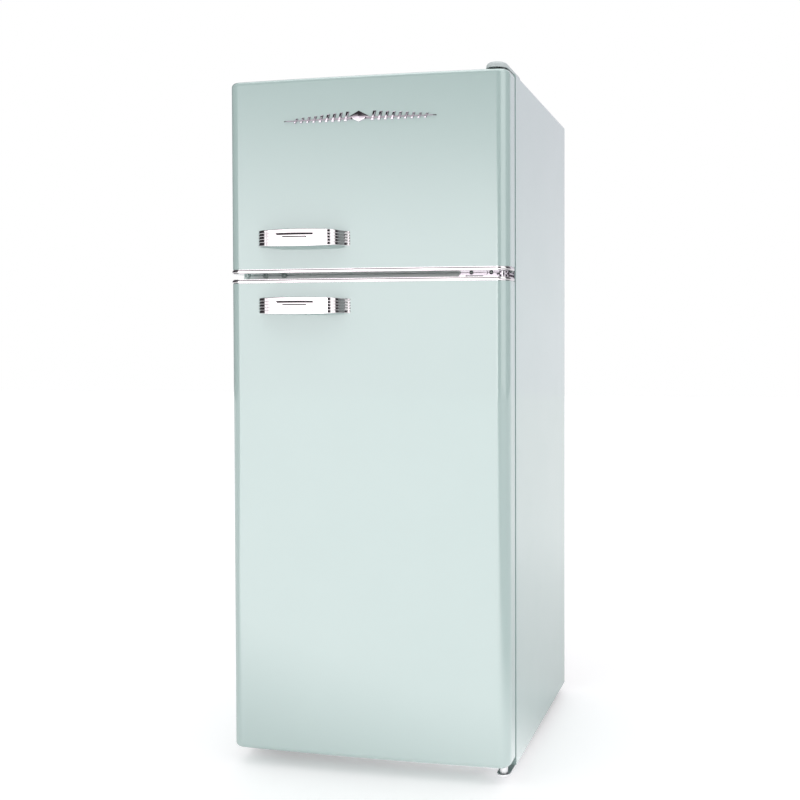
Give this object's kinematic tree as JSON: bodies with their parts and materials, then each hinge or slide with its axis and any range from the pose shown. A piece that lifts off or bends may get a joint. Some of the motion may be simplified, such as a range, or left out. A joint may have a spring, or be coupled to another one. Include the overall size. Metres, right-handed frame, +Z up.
{
  "type": "top freezer refrigerator",
  "caption": "Retro-styled upright refrigerator with a small freezer door over a tall fresh food door, bowed fronts, rounded edges, chrome band handles and chrome trims.",
  "frame": {"origin": "on the floor, under the centre of the bounding box", "axes": "+Z up; -Y out of the door fronts; +X towards the hinge side"},
  "size_m": [0.585, 0.64, 1.406],
  "materials": {
    "mint_enamel": "gloss",
    "chrome": "polished",
    "zinc_steel": "satin",
    "polyurethane_foam": "matte",
    "white_liner": "gloss",
    "grey_plastic": "satin",
    "black_enamel": "satin",
    "black_plastic": "matte",
    "rubber": "matte",
    "gasket_vinyl": "satin",
    "copper": "satin",
    "wire_white": "gloss",
    "shelf_glass": "polished",
    "clear_plastic": "gloss",
    "lens_plastic": "satin",
    "lamp_glass": "gloss",
    "knob_plastic": "satin"
  },
  "bodies": {
    "cabinet": {"cabinet_wrapper": "mint_enamel", "front_rails": "mint_enamel", "rail_hole_plugs": "mint_enamel", "back_panel": "zinc_steel", "compartment_panel": "zinc_steel", "base_pan": "zinc_steel", "cabinet_insulation": "polyurethane_foam", "freezer_liner": "white_liner", "fresh_food_liner": "white_liner", "evaporator_plates": "zinc_steel", "top_hinge_bracket": "zinc_steel", "top_hinge_cover": "grey_plastic", "centre_hinge": "chrome", "bottom_hinge_bracket": "zinc_steel", "screws_and_bolts": "zinc_steel", "condenser_tube": "black_enamel", "condenser_wires": "black_enamel", "condenser_brackets": "black_plastic", "compressor": "black_enamel", "compressor_grommets": "rubber", "start_relay_cover": "black_plastic", "filter_drier": "copper", "refrigerant_pipes": "copper", "evaporation_pan": "grey_plastic", "mains_gland": "black_plastic", "roller_axles": "zinc_steel", "freezer_shelf": "wire_white", "ice_tray": "white_liner", "shelf_glass": "shelf_glass", "crisper_cover": "shelf_glass", "shelf_trims": "white_liner", "thermostat_housing": "white_liner", "lamp_lens": "lens_plastic", "interior_lamp": "lamp_glass"},
    "freezer_door": {"freezer_door_skin": "mint_enamel", "freezer_door_liner": "white_liner", "freezer_door_foam": "polyurethane_foam", "freezer_door_gasket": "gasket_vinyl", "freezer_door_trim": "chrome", "freezer_door_caps": "mint_enamel", "freezer_handle": "chrome", "badge": "chrome", "freezer_door_bin": "clear_plastic"},
    "fridge_door": {"fridge_door_skin": "mint_enamel", "fridge_door_liner": "white_liner", "fridge_door_foam": "polyurethane_foam", "fridge_door_gasket": "gasket_vinyl", "fridge_door_trim": "chrome", "fridge_door_caps": "mint_enamel", "fridge_handle": "chrome", "fridge_door_bins": "clear_plastic", "bottle_bin": "clear_plastic", "egg_tray": "white_liner"},
    "crisper": {"crisper_drawer": "clear_plastic"},
    "thermostat": {"thermostat_knob": "knob_plastic"},
    "door_switch": {"door_switch_plunger": "white_liner"},
    "roller_left": {"rear_roller_left": "black_plastic"},
    "roller_right": {"rear_roller_right": "black_plastic"},
    "foot_left": {"front_foot_left": "black_plastic"},
    "foot_right": {"front_foot_right": "black_plastic"}
  },
  "joints": [
    {"name": "freezer_door_hinge", "type": "hinge", "parent": "cabinet", "child": "freezer_door", "pos_m": [0.2765, -0.248, 1.1975], "axis": [0, 0, 1], "range_deg": [0, 120]},
    {"name": "fridge_door_hinge", "type": "hinge", "parent": "cabinet", "child": "fridge_door", "pos_m": [0.2765, -0.248, 0.513], "axis": [0, 0, 1], "range_deg": [0, 120]},
    {"name": "crisper_slide", "type": "slide", "parent": "cabinet", "child": "crisper", "axis": [0, -1, 0], "range_m": [0, 0.15]},
    {"name": "door_switch_slide", "type": "slide", "parent": "cabinet", "child": "door_switch", "axis": [0, -1, 0], "range_m": [0, 0.006]},
    {"name": "thermostat_turn", "type": "hinge", "parent": "cabinet", "child": "thermostat", "pos_m": [-0.045, -0.165, 0.939], "axis": [0, 1, 0], "range_deg": [0, 270]},
    {"name": "roller_left_spin", "type": "hinge", "parent": "cabinet", "child": "roller_left", "pos_m": [-0.262, 0.262, 0.016], "axis": [1, 0, 0], "continuous": true},
    {"name": "roller_right_spin", "type": "hinge", "parent": "cabinet", "child": "roller_right", "pos_m": [0.262, 0.262, 0.016], "axis": [1, 0, 0], "continuous": true},
    {"name": "foot_left_screw", "type": "hinge", "parent": "cabinet", "child": "foot_left", "pos_m": [-0.238, -0.155, 0.004], "axis": [0, 0, 1], "range_deg": [-360, 360]},
    {"name": "foot_right_screw", "type": "hinge", "parent": "cabinet", "child": "foot_right", "pos_m": [0.238, -0.155, 0.004], "axis": [0, 0, 1], "range_deg": [-360, 360]}
  ],
  "couplings": [
    {"joint": "crisper_slide", "follows": "fridge_door_hinge", "m_per_rad": 0.07},
    {"joint": "door_switch_slide", "follows": "fridge_door_hinge", "m_per_rad": 0.0028}
  ]
}
